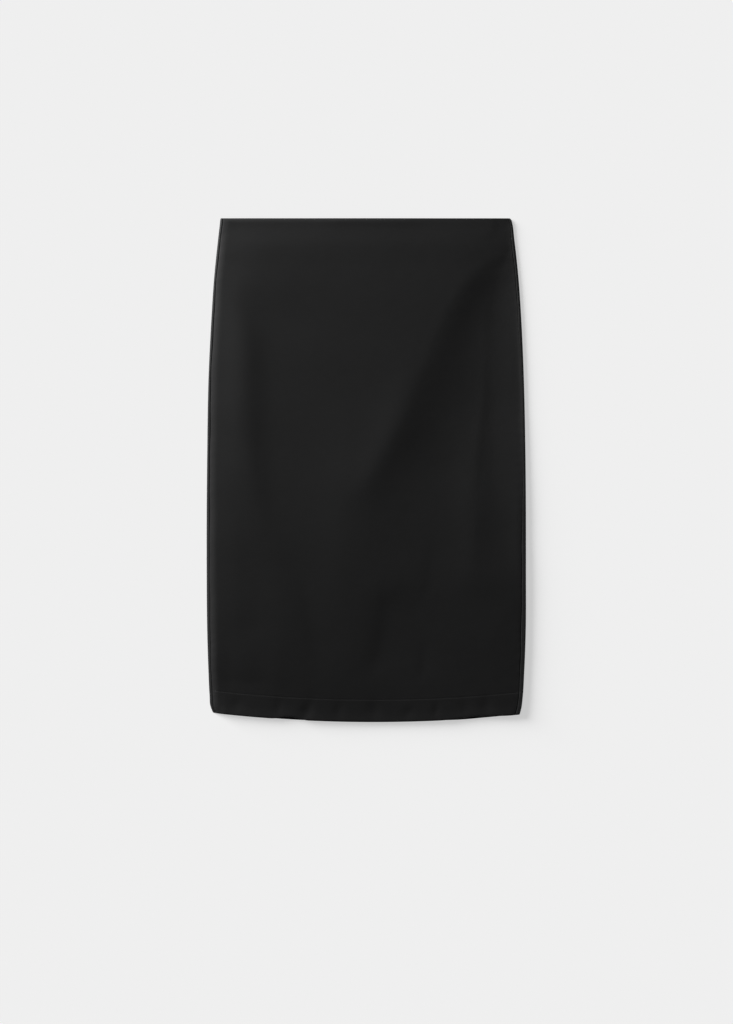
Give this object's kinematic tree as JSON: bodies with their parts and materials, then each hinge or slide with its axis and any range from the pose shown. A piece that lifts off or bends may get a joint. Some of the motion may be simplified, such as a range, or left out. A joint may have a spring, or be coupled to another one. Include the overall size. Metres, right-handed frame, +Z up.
{
  "type": "pencil skirt",
  "caption": "Plain black pencil skirt laid flat, front up, with a straight top edge, curved hips, seams rolled in at the sides, a stitched hem and one long diagonal drag fold",
  "frame": {"origin": "under the middle of the laid-out skirt, on the surface that it rests on", "axes": "+X runs across the skirt to the right as it is seen from above, +Y from the hem to the waist, +Z up from the surface"},
  "size_m": [0.4314, 0.68, 0.0075],
  "materials": {
    "skirt_cloth": "matt black stretch crepe with a soft sheen"
  },
  "bodies": {
    "root": {"front_panel": "skirt_cloth", "back_panel": "skirt_cloth"}
  },
  "joints": []
}
